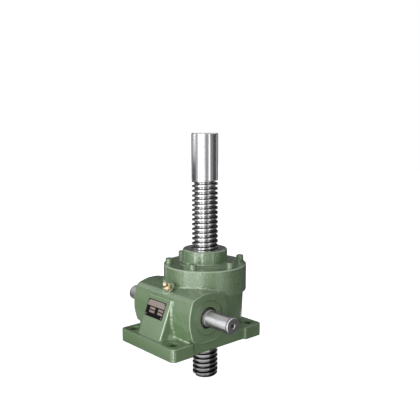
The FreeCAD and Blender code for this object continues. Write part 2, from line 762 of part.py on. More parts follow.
def shaft_end(shaft, name, sign):
    """One end of the shaft: worm trimmed, shoulder, bearing seat, keyed end, clip groove and centre."""
    above = WORM_TIP + " + edge_break"
    corners = [("worm_half", 0), ("worm_half", WORM_ROOT), ("(worm_half - worm_bevel)", above)]
    corners += [("(worm_half + shoulder_end)", above), ("(worm_half + shoulder_end)", 0)]
    trim = outline(shaft, name + "_trim", "XZ_Plane", [(sign + along, radius) for along, radius in corners])
    turn(shaft, "Groove", trim, "H_Axis")
    corners = [("worm_half - edge_break", 0), ("worm_half - edge_break", "shoulder_radius")]
    corners += [("shoulder_end", "shoulder_radius"), ("shoulder_end", "shaft_radius")]
    corners += [("seal_end", "shaft_radius"), ("seal_end + edge_break", "shaft_end_radius")]
    corners += [(CLIP_START, "shaft_end_radius"), (CLIP_START, "clip_radius")]
    corners += [(CLIP_END, "clip_radius"), (CLIP_END, "shaft_end_radius")]
    corners += [("shaft_half - shaft_chamfer", "shaft_end_radius")]
    corners += [("shaft_half", "shaft_end_radius - shaft_chamfer")]
    corners += [("shaft_half", "centre_radius"), ("shaft_half - centre_radius + centre_core", "centre_core")]
    corners += [("shaft_half - centre_depth", "centre_core"), ("shaft_half - centre_depth - centre_core", 0)]
    signed = [(sign + "(" + along + ")", radius) for along, radius in corners]
    turn(shaft, "Revolution", outline(shaft, name + "_end", "XZ_Plane", signed), "H_Axis")


def keyway(shaft, name, sign):
    """Keyway with round ends along the top of one shaft end."""
    floor = (0, 0, "shaft_end_radius - key_depth")
    start = sign + "(key_start + key_half)"
    end = sign + "(key_end - key_half)"
    corners = [(start, "-key_half"), (end, "-key_half"), (end, "key_half"), (start, "key_half")]
    slot = outline(shaft, name + "_key", "XY_Plane", corners, offset=floor)
    extrude(shaft, "Pocket", slot, "2 * key_depth", backwards=True)
    for place, along in (("start", start), ("end", end)):
        round_end = circles(shaft, name + "_key_" + place, "XY_Plane", [(along, 0, "key_half")], floor)
        extrude(shaft, "Pocket", round_end, "2 * key_depth", backwards=True)


def worm_bearing(side, sign):
    """Ball bearing, shim, screwed plug and oil seal at one end of the worm."""

    def ring(name, corners):
        signed = [(sign + "(" + along + ")", radius) for along, radius in swapped(corners)]
        return on_worm_line(turned(side + "_" + name, signed, "H_Axis"))

    far = "shoulder_end + bearing_width"
    third = "(worm_bore - shaft_radius) / 3"
    inside = ring_corners("shaft_radius", "shaft_radius + " + third, "shoulder_end", far)
    outside = ring_corners("worm_bore - " + third, "worm_bore", "shoulder_end", far)
    inner = ring("bearing_inner_ring", inside)
    outer = ring("bearing_outer_ring", outside)
    for race in (inner, outer):
        place = [(sign + BEARING_MIDDLE, WORM_BALL_CIRCLE, "worm_ball + ball_play")]
        turn(race, "Groove", circles(race, "groove", "XZ_Plane", place), "H_Axis")
    balls = on_worm_line(body(side + "_bearing_balls"))
    first = ball(balls, "ball", sign + BEARING_MIDDLE, WORM_BALL_CIRCLE, "worm_ball")
    around(balls, first, "worm_balls", "X_Axis")
    ring("bearing_shim", ring_corners("worm_bore - " + third, "worm_bore", far, PLUG_START))
    corners = [("plug_bore", PLUG_START), ("plug_radius", PLUG_START)]
    corners += [("plug_radius", "boss_half - edge_break"), ("plug_radius - edge_break", "boss_half")]
    corners += [("seal_radius + edge_break", "boss_half")]
    corners += [("seal_radius", "boss_half - edge_break"), ("seal_radius", "seal_inside")]
    corners += [("plug_bore", "seal_inside")]
    plug = ring("bearing_plug", corners)
    hole = circles(plug, "lock_hole", "YZ_Plane", [LOCK_PLACE], (0, 0, sign + "boss_half"))
    extrude(plug, "Pocket", hole, "lock_length", backwards=bool(sign))
    mouth = "seal_inside + seal_width"
    lip = "shaft_radius + seal_play"
    corners = [(lip, "seal_inside + 2 * edge_break"), ("shaft_radius + lip_thick", "seal_inside")]
    corners += [("seal_radius", "seal_inside"), ("seal_radius", mouth), ("shaft_radius + lip_thick", mouth)]
    corners += [(lip, "seal_inside + 4 * edge_break")]
    ring("oil_seal", corners)


def lock_screws():
    """Two grub screws that keep the bearing plugs from turning."""
    screws = on_worm_line(body("plug_lock_screws"))
    for side, sign in (("drive", ""), ("rear", "-")):
        place = (0, 0, sign + "(boss_half - lock_length)")
        shank = circles(screws, side + "_shank", "YZ_Plane", [LOCK_PLACE], place)
        extrude(screws, "Pad", shank, "lock_length - lock_sunk", backwards=bool(sign))


def grease_fitting():
    """Brass grease fitting: shank, hexagon, neck and ball end, square to its boss."""
    fitting = body("grease_fitting")
    nut = outline(fitting, "hexagon", "XY_Plane", hexagon("fitting_hex"))
    extrude(fitting, "Pad", nut, "fitting_hex_high")
    corners = [(0, "-fitting_neck"), ("grease_port", "-fitting_neck")]
    corners += [("grease_port", "fitting_hex_high / 2")]
    corners += [("fitting_neck", "fitting_hex_high / 2"), ("fitting_neck", "fitting_neck_high")]
    corners += [("fitting_waist", "fitting_neck_high + edge_break"), ("fitting_waist", "fitting_ball_low")]
    corners += [("fitting_ball", "fitting_ball_low + 2 * edge_break")]
    corners += [("fitting_ball", "fitting_top - 3 * edge_break")]
    corners += [("fitting_ball - 2 * edge_break", "fitting_top"), (0, "fitting_top")]
    turn(fitting, "Revolution", outline(fitting, "neck", "XZ_Plane", corners))
    fitting.Placement.Rotation = grease_turn()
    for direction, formula in zip("xyz", grease_place()):
        fitting.setExpression("Placement.Base." + direction, linked(formula))


def grease_turn():
    """Turn that makes Z square to the face of the grease boss."""
    return FreeCAD.Rotation(FreeCAD.Vector(1, 0, 0), 90 - size("grease_tilt"))


def grease_place():
    """Formulas of the middle of the grease boss's face."""
    return "grease_side", "-worm_y - grease_out", "worm_z + grease_up"


def label_plate():
    """Blank plate on the buttress with a rivet at each corner."""
    plate = body("nameplate")
    corners = ring_corners("-label_width / 2", "label_width / 2", "-label_height / 2", "label_height / 2")
    extrude(plate, "Pad", outline(plate, "blank", "XY_Plane", corners), "label_thick")
    soften(plate, "Fillet", upright_at(lambda x, y: True), "label_round")
    across = "label_width / 2 - rivet_inset"
    up = "label_height / 2 - rivet_inset"
    places = [(x + "(" + across + ")", y + "(" + up + ")") for x in ("-", "") for y in ("-", "")]
    holes = circles(plate, "rivet_holes", "XY_Plane", [(x, y, "rivet_shank") for x, y in places])
    extrude(plate, "Pocket", holes, "label_thick", backwards=True)
    rivets = body("nameplate_rivets")
    rings = [(x, y, "rivet_radius") for x, y in places]
    heads = circles(rivets, "heads", "XY_Plane", rings, (0, 0, "label_thick"))
    extrude(rivets, "Pad", heads, "rivet_high")
    top = size("label_thick") + size("rivet_high")
    soften(rivets, "Fillet", beside((None, None, top), CLOSE), "rivet_round")
    shanks = circles(rivets, "shanks", "XY_Plane", [(x, y, "rivet_shank") for x, y in places])
    extrude(rivets, "Pad", shanks, "label_thick")
    back = size("buttress_foot") - size("buttress_head")
    lean = math.degrees(math.atan2(back, size("buttress_top") - size("base_thick")))
    for owner in (plate, rivets):
        owner.Placement.Rotation = FreeCAD.Rotation(FreeCAD.Vector(1, 0, 0), 90 - lean)
        owner.setExpression("Placement.Base.x", linked("-label_shift"))
        behind = "-buttress_foot + " + BUTTRESS_LEAN + " * (label_middle - base_thick)"
        owner.setExpression("Placement.Base.y", linked(behind))
        owner.setExpression("Placement.Base.z", linked("label_middle"))


def write_parts():
    """Check every feature and shape, then write one file for each sub-part."""
    doc.recompute()
    for item in doc.Objects:
        if "Invalid" in item.State or "Error" in item.State:
            raise RuntimeError(item.Label + " failed: " + ", ".join(item.State))
    os.makedirs("parts", exist_ok=True)
    for node in nodes:
        shape = node.Shape
        if shape.isNull() or not shape.isValid():
            raise RuntimeError(node.Label + " has no valid shape")
        shape.exportStep("parts/" + node.Label + ".step")
        print(node.Label, len(shape.Solids), round(shape.Volume), shape.BoundBox)


fill_sheet()
hollow_housing(housing())
top_cover()
cover_shim()
cover_screws()
guides()
lifting_screw()
worm_wheel()
thrust_bearing("lower_thrust", "lower_seat", "housing_race", "shaft_race")
thrust_bearing("upper_thrust", "wheel_high", "shaft_race", "housing_race")
worm_shaft()
for side, sign in (("drive", ""), ("rear", "-")):
    worm_bearing(side, sign)
lock_screws()
grease_fitting()
label_plate()
write_parts()
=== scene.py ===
import functools
import math

import bmesh
import bpy
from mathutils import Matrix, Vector

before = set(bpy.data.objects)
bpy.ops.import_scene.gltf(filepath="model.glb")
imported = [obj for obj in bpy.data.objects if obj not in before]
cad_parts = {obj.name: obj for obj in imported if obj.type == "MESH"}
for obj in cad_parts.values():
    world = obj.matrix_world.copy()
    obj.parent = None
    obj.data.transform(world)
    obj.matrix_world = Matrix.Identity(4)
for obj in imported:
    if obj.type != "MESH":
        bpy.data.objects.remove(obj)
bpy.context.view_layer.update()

# Places on the jack, in metres
WORM_AXIS = (0, -0.084, 0.085)
SCREW_PLAIN_LOW = 0.394
SCREW_CREST = 0.0325
SCREW_ROOT = 0.026
# Heights over which the thread is painted darker downwards, as shade under the housing
DARK_THREAD_LOW = -0.010
DARK_THREAD_HIGH = 0.030
COLLAR_TOP = 0.223
COLLAR_RADIUS = 0.056
COVER_TOP = 0.186
DRUM_RADIUS = 0.104
DRUM_LOW = 0.121
DRUM_ROOT_BACK = -0.03
PLATE_TOP = 0.031
PLATE_HALF = 0.104
PLATE_FRONT = -0.188
BOSS_HALF = 0.1095
BOSS_RIM = 0.0015
PLUG_RADIUS = 0.041
TUNNEL_FRONT = -0.1427
TUNNEL_BACK = -0.115
SEAL_LIP = 0.0216
SEAL_END = 0.1135
BOLT_ACROSS = 0.078
BOLT_FRONT = -0.1655
BOLT_BACK = 0.076
BOLT_HOLE = 0.009
SHAFT_HALF = 0.189
CLIP_START = 0.18415
CLIP_END = 0.186
KEY_FLOOR = 0.0172
BUTTRESS_FOOT = -0.176
BUTTRESS_HEAD = -0.1397
BUTTRESS_TOP = 0.1215
BUTTRESS_RIGHT = 0.040
# Centre of the painted glint where the roots of the buttress and the tunnel meet
ROOT_SPOT = (0.0445, -0.1440, 0.0340)
GREASE_PLACE = (0.006, -0.1225, 0.1422)
GREASE_TURN = (math.radians(42), 0, 0)
GREASE_BOSS = 0.0165
BALL_LOW = 0.0135
LABEL_WIDTH = 0.068
LABEL_HEIGHT = 0.042
LABEL_THICK = 0.0008
LABEL_BORDER = 0.002
LABEL_EDGE = 0.00025
LABEL_SHIFT = -0.008
LABEL_MIDDLE = 0.093
LABEL_BAND_LOW = LABEL_HEIGHT * 0.12
LABEL_BOXES_ACROSS = [(-0.0200, 0.0000), (0.0115, 0.0310)]
LABEL_BOXES_UP = [(-0.0108, -0.0056), (-0.0030, 0.0024)]
LEAN = math.atan2(BUTTRESS_HEAD - BUTTRESS_FOOT, BUTTRESS_TOP - PLATE_TOP)
LABEL_TURN = (math.pi / 2 - LEAN, 0, 0)
LABEL_PLACE = (LABEL_SHIFT, BUTTRESS_FOOT + (LABEL_MIDDLE - PLATE_TOP) * math.tan(LEAN), LABEL_MIDDLE)

# How softly drawn lines end, in metres
SOFT = 0.0004
SOFT_FINE = 0.0003
SOFT_WIDE = 0.0005

# Colours, in linear light
GREEN = (0.139, 0.231, 0.108)
GREEN_PALE = (0.175, 0.268, 0.140)
GREEN_DEEP = (0.078, 0.143, 0.056)
# Pale green of the painted highlights on rims and roots, partly rubbed enamel, and of the paler lock
# screws
GREEN_PALEST = (0.52, 0.62, 0.45)
# Dark green of the plug seams, and of the painted shadow beside the grease boss
GREEN_SEAM_AND_SHADOW = (0.020, 0.032, 0.016)
CAST_IRON = (0.30, 0.30, 0.31)
DULL_IRON = (0.17, 0.18, 0.165)
STEEL = (0.47, 0.47, 0.485)
STEEL_BRIGHT = (0.60, 0.60, 0.615)
STEEL_DULL = (0.30, 0.30, 0.305)
STEEL_GROUND = (0.35, 0.35, 0.355)
STEEL_SHINY = (0.42, 0.42, 0.425)
# Dark of oil in the thread roots, and of painted shade on the thread flanks and roots, in the keyway and
# in the clip groove
OIL_AND_SHADE = (0.060, 0.055, 0.050)
BRONZE = (0.60, 0.38, 0.16)
BRONZE_DARK = (0.32, 0.18, 0.07)
BRASS = (0.86, 0.74, 0.52)
BRASS_DARK = (0.24, 0.11, 0.05)
RUBBER = (0.018, 0.018, 0.019)
LIP = (0.26, 0.15, 0.07)
PLATE_METAL = (0.42, 0.33, 0.29)
# Pale patch on the front of the seals: grease with a painted highlight
GREASE_HIGHLIGHT = (0.50, 0.42, 0.33)
RIVET = (0.06, 0.05, 0.05)
PLATE_FIELD = (0.006, 0.005, 0.005)
FLOOR_WHITE = (0.8, 0.8, 0.8)
WHITE = (1, 1, 1)
BLACK = (0, 0, 0)

# Studio
CAMERA_TURN = math.radians(47.9)
CAMERA_DIP = math.radians(7.9)
CAMERA_REACH = 1.4664
CAMERA_HEIGHT = 0.5227
CAMERA_ASIDE = 0.0128
CAMERA_LENS = 50.78
CAMERA_FILM = 36
CAMERA_FAR = 100
FLOOR_LEVEL = -0.275
FLOOR_HALF = 9.0
FLOOR_NEAR = 0.7
FLOOR_FAR = 2.4
FLOOR_GLOW = 0.75
SKY = 0.20
CARD_REACH = 0.85
CARD_LIFT = 0.05
# Each lamp: name, turn from the camera, reach, height, width, tallness, power, height of its aim
LAMPS = [
    ("key_lamp", -31, 1.7, 0.47, 1.40, 1.40, 9.5, 0.3),
    ("key_strip_near", -15, 1.66, 0.47, 0.30, 1.40, 7, 0.3),
    ("key_strip_far", -51, 1.66, 0.47, 0.26, 1.40, 6, 0.3),
    ("fill_lamp", 41, 1.8, 0.45, 0.25, 1.30, 1.8, 0.3),
    ("side_lamp", -99, 1.7, 0.62, 0.5, 0.3, 1.0, 0.1),
    ("back_lamp", 172, 1.8, 0.60, 1.3, 1.1, 9, 0.1),
]
# Each card: name, turn from the camera, spread, heights of its bottom and top, level
CARDS = [
    ("card_behind", 180, 76, FLOOR_LEVEL, 1.15, 0.04),
    ("card_behind_right", 128, 24, 0.27, 0.55, 0.5),
    ("card_behind_right_low", 128, 28, FLOOR_LEVEL, 0.27, 0.08),
    ("card_behind_left", -136, 16, FLOOR_LEVEL, 0.55, 0.35),
    ("card_left_dark", -113, 26, FLOOR_LEVEL, 0.40, 0.1),
    ("card_left_low", -90, 20, FLOOR_LEVEL, 0.0, 0.12),
    ("card_left", -90, 20, 0.0, 0.16, 0.38),
    ("card_left_band", -89, 28, 0.16, 0.25, 1.0),
    ("card_left_high", -90, 20, 0.25, 0.40, 0.15),
    ("card_left_near", -68.5, 21, FLOOR_LEVEL, 0.55, 0.75),
    ("card_front", 18, 20, FLOOR_LEVEL, 0.55, 0.45),
    ("card_right", 60, 24, FLOOR_LEVEL, 0.9, 0.4),
    ("card_right_dark", 93, 42, FLOOR_LEVEL, 0.9, 0.11),
]
# Each card on the floor: name, level, and its corners by turn from the camera and reach
LOW_CARDS = [
    ("card_right_floor", 0.08, [(40, 0.12), (40, 0.85), (80, 1.0), (120, 0.85), (120, 0.12)]),
    ("card_left_floor", 0.30, [(-78, 0.45), (-78, 0.87), (-100, 0.87), (-124, 0.9), (-124, 0.45)]),
    ("card_below", 0.10, [(turn, 0.45) for turn in range(0, 360, 45)]),
]


class Value:
    """A shader socket that can stand in a Python expression."""

    def __init__(self, finish, socket):
        self.finish = finish
        self.socket = socket

    def math(self, operation, *terms):
        return self.finish.add("ShaderNodeMath", {"operation": operation}, dict(enumerate(terms)))

    def __add__(self, other):
        return self.math("ADD", self, other)

    def __radd__(self, other):
        return self.math("ADD", other, self)

    def __sub__(self, other):
        return self.math("SUBTRACT", self, other)

    def __rsub__(self, other):
        return self.math("SUBTRACT", other, self)

    def __mul__(self, other):
        return self.math("MULTIPLY", self, other)

    def __rmul__(self, other):
        return self.math("MULTIPLY", other, self)

    def __pow__(self, other):
        return self.math("POWER", self, other)

    def __abs__(self):
        return self.math("ABSOLUTE", self)

    def least(self, other):
        return self.math("MINIMUM", self, other)

    def most(self, other):
        return self.math("MAXIMUM", self, other)


class Finish:
    """A finish, or the light of the room, while its nodes are added."""

    def __init__(self, name, family=bpy.data.materials):
        self.owner = family.new(name)
        self.owner.use_nodes = True
        self.tree = self.owner.node_tree
        self.tree.nodes.clear()

    def add(self, kind, settings=None, sockets=None, output=0):
        """Add one node: its settings first, then the values or links of its sockets."""
        node = self.tree.nodes.new(kind)
        for name, value in (settings or {}).items():
            setattr(node, name, value)
        for name, value in (sockets or {}).items():
            if isinstance(value, Value):
                self.tree.links.new(value.socket, node.inputs[name])
            else:
                node.inputs[name].default_value = value
        return Value(self, node.outputs[output]) if node.outputs else None

    def place(self, centre=(0, 0, 0), turn=(0, 0, 0), stretch=(1, 1, 1)):
        """Object coordinates, seen from a centre, turned and stretched."""
        where = self.add("ShaderNodeTexCoord", output="Object")
        if centre != (0, 0, 0) or turn != (0, 0, 0):
            sockets = {"Vector": where, "Location": centre, "Rotation": turn}
            where = self.add("ShaderNodeMapping", {"vector_type": "TEXTURE"}, sockets)
        if stretch != (1, 1, 1):
            where = self.add("ShaderNodeMapping", {}, {"Vector": where, "Scale": stretch})
        return where

    def parts(self, where):
        """The three coordinates of a place."""
        return [self.add("ShaderNodeSeparateXYZ", {}, {0: where}, axis) for axis in range(3)]

    def noise(self, where, scale, detail=2.0, roughness=0.5):
        """Cloudy pattern with about so many cells in a metre."""
        sockets = {"Vector": where, "Scale": scale, "Detail": detail, "Roughness": roughness}
        return self.add("ShaderNodeTexNoise", {}, sockets)

    def rise(self, value, low, high):
        """0 at low and 1 at high, smooth between them and level beyond; low may be the larger one."""
        sockets = {"Value": value, "From Min": low, "From Max": high}
        return self.add("ShaderNodeMapRange", {"interpolation_type": "SMOOTHSTEP"}, sockets)

    def fall(self, value, low, high):
        """1 at low and 0 at high, smooth between them and level beyond."""
        return 1 - self.rise(value, low, high)

    def within(self, value, low, high, soft):
        """1 between low and high, 0 outside, with soft ends."""
        return self.rise(value, low - soft, low + soft) * self.fall(value, high - soft, high + soft)

    def blend(self, share, first, second):
        """Colour that goes from first to second."""
        sockets = {0: share, 6: as_colour(first), 7: as_colour(second)}
        return self.add("ShaderNodeMix", {"data_type": "RGBA"}, sockets, 2)

    def seen(self):
        """1 for the camera, and for what shows in reflections and through glass."""
        rays = [self.add("ShaderNodeLightPath", output=ray)
                for ray in ("Is Camera Ray", "Is Glossy Ray", "Is Transmission Ray")]
        return (rays[0] + rays[1] + rays[2]).least(1)

    def reach(self, across, up):
        """Distance from an axis, from the two coordinates square to it."""
        return (across * across + up * up) ** 0.5

    def relief(self, height, depth, strength):
        """Normal of a surface with small hills of a depth in metres."""
        sockets = {"Height": height, "Distance": depth, "Strength": strength}
        return self.add("ShaderNodeBump", {}, sockets, "Normal")

    def brushed(self, lines, axis, spread):
        """Normal that fine turned lines tilt along an axis, more forwards than back."""
        middle = 0.3
        tilt = self.add("ShaderNodeCombineXYZ", {}, {axis: (lines - middle) * spread})
        facing = self.add("ShaderNodeNewGeometry", output="Normal")
        tilted = self.add("ShaderNodeVectorMath", {"operation": "ADD"}, {0: facing, 1: tilt})
        return self.add("ShaderNodeVectorMath", {"operation": "NORMALIZE"}, {0: tilted})

    def surface(self, **sockets):
        """Close the finish with one shader whose sockets are given by name."""
        named = {name.replace("_", " "): as_colour(value) for name, value in sockets.items()}
        shader = self.add("ShaderNodeBsdfPrincipled", {}, named)
        self.add("ShaderNodeOutputMaterial", {}, {"Surface": shader})
        return self.owner


def as_colour(value):
    """A colour with its fourth channel, and anything else as it is."""
    return (*value, 1) if isinstance(value, tuple) else value


def cast_enamel():
    """Green enamel over a sand-cast surface, smooth where it was filed flat, bare iron below; painted
    shade on the plate's front, in the bolt holes and beside the grease boss, and painted highlights on
    rims and roots.
    """
    paint = Finish("green_enamel_on_casting")
    where = paint.place()
    x, y, z = paint.parts(where)
    lumps = paint.noise(where, 190, 2.0)
    sand = paint.noise(where, 420, 2.0, 0.6)
    swell = paint.noise(where, 42, 2.0)
    tone = paint.noise(where, 16, 3.0, 0.6)
    rough = rough_areas(paint, x, y, z)
    height = (lumps * 1.2 + sand * 0.5) * rough + swell * 0.4
    machined = paint.fall(z, 0.0002, 0.0006)
    faced = paint.rise(z, COLLAR_TOP - 0.0004, COLLAR_TOP - 0.0001)
    # Painted shade: the walls of the bolt holes darker
    bore_shade = bolt_bores(paint, x, y) * paint.fall(z, PLATE_TOP - 0.0018, PLATE_TOP - 0.0016)
    colour = paint.blend(paint.rise(tone, 0.35, 0.70) * 0.6, GREEN, GREEN_PALE)
    colour = paint.blend(paint.rise(lumps, 0.46, 0.28) * 0.5 * rough, colour, GREEN_DEEP)
    # Painted shade: the plate's front face darker towards its bottom; the whole plate a little darker
    # too
    front = paint.fall(z, 0.0, PLATE_TOP + 0.006) * paint.fall(y, PLATE_FRONT, PLATE_FRONT + 0.004)
    plate = paint.fall(z, PLATE_TOP, PLATE_TOP + 0.001)
    colour = paint.blend(front * 0.6 + 0.1 * plate, colour, GREEN_DEEP)
    # Pale lines painted as highlights on rims and roots, partly rubbed enamel, broken up by the lumps
    # like a speckled highlight
    speckle = 0.10 + paint.rise(lumps, 0.40, 0.58) * 1.2
    highlights_and_wear = highlight_and_wear_lines(paint, x, y, z, speckle)
    # Painted shadow and highlight at the grease boss, and a painted highlight in front of each plug seam
    grease_rim_shadow, grease_rim_highlight = grease_rim(paint)
    dark_seam, plug_rim_highlight = plug_seam(paint, x, y, z)
    highlights_and_wear = highlights_and_wear.most(grease_rim_highlight).most(plug_rim_highlight)
    colour = paint.blend((highlights_and_wear * (0.4 + sand * 0.6)).least(1), colour, GREEN_PALEST)
    # Painted shadow beside the grease boss
    colour = paint.blend(grease_rim_shadow * 0.8, colour, GREEN_SEAM_AND_SHADOW)
    colour = paint.blend(faced * 0.75, colour, DULL_IRON)
    colour = paint.blend(machined, colour, CAST_IRON)
    colour = paint.blend(bore_shade, colour, GREEN_DEEP)
    colour = paint.blend(dark_seam * 0.85, colour, GREEN_SEAM_AND_SHADOW)
    return paint.surface(
        Base_Color=colour,
        Roughness=0.28 + swell * 0.12,
        Metallic=machined * 0.9,
        Specular_IOR_Level=0.85,
        Coat_Weight=0.6 + rough * 0.4,
        Coat_Roughness=0.11,
        Normal=paint.relief(height * (1 - machined), 0.0016, 0.8),
    )


def paler_enamel():
    """Paler enamel, mottled, on the small screws that lock the plugs."""
    paint = Finish("paler_enamel")
    mottle = paint.noise(paint.place(), 500, 2.0)
    return paint.surface(
        Base_Color=paint.blend(paint.rise(mottle, 0.35, 0.65), GREEN_PALE, GREEN_PALEST),
        Roughness=0.30 + mottle * 0.10,
        Normal=paint.relief(mottle, 0.0002, 0.5),
    )


def rough_areas(paint, x, y, z):
    """How rough the casting is: fully on the drum, the cover and the tunnel, little on filed faces."""
    above = paint.rise(z, DRUM_LOW, DRUM_LOW + 0.005)
    beside = paint.rise(x, BUTTRESS_RIGHT - 0.001, BUTTRESS_RIGHT + 0.003)
    beside = beside * paint.fall(x, BOSS_HALF - 0.004, BOSS_HALF - 0.001)
    beside = beside * paint.rise(z, PLATE_TOP + 0.001, PLATE_TOP + 0.006)
    beside = beside * paint.fall(y, TUNNEL_BACK, TUNNEL_BACK + 0.010)
    filed = 0.22
    return filed + (1 - filed) * above.most(beside)


def highlight_and_wear_lines(paint, x, y, z, speckle):
    """Thin pale lines painted as highlights on the rims, the roots and the plate's edges; on the rims
    they also stand for rubbed enamel.
    """
    radius = paint.reach(x, y)
    lines = rim_lines(paint, x, z, radius)
    lines += [drum_root(paint, y, z, radius) * speckle * drum_root_share(paint, x)]
    lines += buttress_lines(paint, x, y, z, speckle)
    lines += [tunnel_foot(paint, x, y, z) * speckle, buttress_head(paint, y, z)]
    lines += [plate_corner(paint, x, y) * speckle]
    lines += [root_spot(paint, x, y, z) * (0.6 + speckle * 0.4)]
    return functools.reduce(Value.most, lines)


def rim_lines(paint, x, z, radius):
    """Painted highlights, partly rubbed enamel, on the upper edges of the cover, the collar and the
    plate's sides, and the outer edges of the bosses.
    """
    across = abs(x)
    cover = paint.within(radius, DRUM_RADIUS - 0.0024, DRUM_RADIUS + 0.002, SOFT)
    cover = cover * paint.within(z, COVER_TOP - 0.0024, COVER_TOP + 0.0006, SOFT)
    collar = paint.within(radius, COLLAR_RADIUS - 0.0018, COLLAR_RADIUS + 0.001, SOFT_FINE)
    collar = collar * paint.rise(z, COLLAR_TOP - 0.0018, COLLAR_TOP - 0.0010)
    plate = paint.within(z, PLATE_TOP - 0.0020, PLATE_TOP - 0.0003, SOFT_FINE)
    plate = plate * paint.rise(across, PLATE_HALF - 0.003, PLATE_HALF - 0.002) * 0.6
    boss = paint.within(across, BOSS_HALF - BOSS_RIM, BOSS_HALF - 0.0002, 0.0002)
    boss = boss * paint.rise(z, PLATE_TOP, PLATE_TOP + 0.004)
    return [cover, collar, plate, boss]


def drum_root(paint, y, z, radius):
    """Painted highlight along the root between the drum and the tunnel."""
    line = paint.within(radius, DRUM_RADIUS + 0.0004, DRUM_RADIUS + 0.004, SOFT_WIDE)
    beside = paint.fall(y, DRUM_ROOT_BACK, DRUM_ROOT_BACK + 0.02)
    return line * paint.rise(z, DRUM_LOW + 0.001, DRUM_LOW + 0.002) * beside


def drum_root_share(paint, x):
    """How bright the painted highlight on the drum's root is: brighter on its left, where the key light
    falls.
    """
    return 1.2 - paint.rise(x, 0.0, 0.08) * 0.6


def buttress_lines(paint, x, y, z, speckle):
    """Painted highlights on the leaning edge of the buttress and on the upright root between it and the
    tunnel.
    """
    behind = y - BUTTRESS_FOOT - (z - PLATE_TOP) * math.tan(LEAN)
    edge = paint.within(x, BUTTRESS_RIGHT - 0.0026, BUTTRESS_RIGHT - 0.0005, SOFT)
    edge = edge * paint.fall(behind, 0.0036, 0.0044)
    root = paint.within(x, BUTTRESS_RIGHT + 0.0002, BUTTRESS_RIGHT + 0.0062, 0.0006)
    root = root * paint.within(y, TUNNEL_FRONT - 0.003, TUNNEL_FRONT + 0.012, SOFT_WIDE) * speckle
    body = paint.within(z, PLATE_TOP + 0.002, BUTTRESS_TOP - 0.001, 0.001)
    return [edge * body, root * body]


def tunnel_foot(paint, x, y, z):
    """Painted highlight along the root between the tunnel and the plate."""
    line = paint.within(z, PLATE_TOP + 0.0006, PLATE_TOP + 0.0040, SOFT_WIDE)
    line = line * paint.within(y, TUNNEL_FRONT - 0.002, TUNNEL_FRONT + 0.012, 0.001)
    return line * paint.rise(x, BUTTRESS_RIGHT, BUTTRESS_RIGHT + 0.002)


def buttress_head(paint, y, z):
    """Painted highlight along the upper edge of the buttress."""
    line = paint.within(z, BUTTRESS_TOP - 0.0016, BUTTRESS_TOP - 0.0001, SOFT_FINE)
    return line * paint.fall(y, BUTTRESS_HEAD, BUTTRESS_HEAD + 0.001) * 0.6


def plate_corner(paint, x, y):
    """Painted highlight on the upright corner of the plate at the front right."""
    beside = abs(x + y - PLATE_HALF - PLATE_FRONT)
    line = paint.fall(beside, 0.0014, 0.0028) * paint.rise(x, PLATE_HALF - 0.006, PLATE_HALF - 0.004)
    return line * paint.fall(y, PLATE_FRONT + 0.005, PLATE_FRONT + 0.007)


def root_spot(paint, x, y, z):
    """Painted glint where the roots of the buttress and the tunnel meet."""
    spot_x, spot_y, spot_z = ROOT_SPOT
    beside = paint.reach(paint.reach(x - spot_x, y - spot_y), z - spot_z)
    return paint.fall(beside, 0.006, 0.012)


def grease_rim(paint):
    """Rim of the round boss below the grease fitting: a painted shadow as a dark arc beside it and a
    painted highlight as a pale arc under it.
    """
    x, y, z = paint.parts(paint.place(GREASE_PLACE, GREASE_TURN))
    rim = paint.within(paint.reach(x, y), GREASE_BOSS - 0.0022, GREASE_BOSS + 0.0006, SOFT)
    rim = rim * paint.within(z, -0.005, 0.001, SOFT_WIDE)
    beside = paint.rise(x, 0.006, 0.010) * paint.rise(y, -0.010, -0.006)
    return rim * beside, rim * paint.fall(y, -0.011, -0.008)


def plug_seam(paint, x, y, z):
    """Dark seam round the plug on each end of the tunnel, and a painted highlight as a pale arc in front
    of it.
    """
    _, worm_y, worm_z = WORM_AXIS
    across = y - worm_y
    up = z - worm_z
    reach = paint.reach(across, up)
    face = paint.rise(abs(x), BOSS_HALF - 0.001, BOSS_HALF - 0.0004)
    seam = paint.within(reach, PLUG_RADIUS - 0.0009, PLUG_RADIUS + 0.0006, SOFT_FINE)
    arc = paint.within(reach, PLUG_RADIUS + 0.0006, PLUG_RADIUS + 0.0018, SOFT_FINE)
    arc = arc * paint.fall(across, -0.030, -0.020) * paint.rise(up, -0.005, 0.005)
    return seam * face, arc * face


def bolt_bores(paint, x, y):
    """1 inside the four bolt holes of the plate."""
    across = abs(x) - BOLT_ACROSS
    front = paint.reach(across, y - BOLT_FRONT)
    back = paint.reach(across, y - BOLT_BACK)
    return paint.fall(front.least(back), BOLT_HOLE + 0.0002, BOLT_HOLE + 0.0006)


